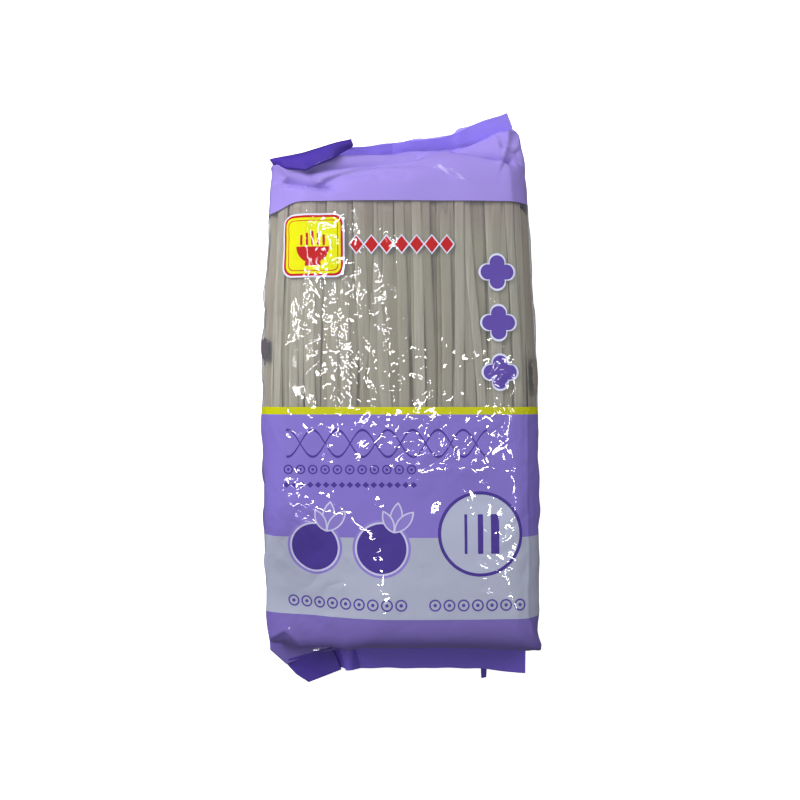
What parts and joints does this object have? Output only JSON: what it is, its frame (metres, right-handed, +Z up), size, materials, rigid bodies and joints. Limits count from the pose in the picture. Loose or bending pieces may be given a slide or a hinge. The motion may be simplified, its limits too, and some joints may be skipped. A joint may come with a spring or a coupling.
{
  "type": "pack of flat rice sticks",
  "caption": "Sealed film bag of flat dried rice sticks with a printed band, a clear window and crimped end seals, lying on its back.",
  "frame": {"origin": "middle of the flat back panel that the pack lies on", "axes": "+Z up through the printed front, +Y towards the top seal, +X to the right when the front is read"},
  "size_m": [0.138, 0.2842, 0.048],
  "materials": {
    "printed_film": "glossy printed film, lavender, violet, pale grey and yellow",
    "clear_film": "glossy clear film",
    "rice_sticks": "translucent dried rice starch, grey beige"
  },
  "bodies": {
    "root": {"stick_pack": "printed_film"}
  },
  "joints": []
}
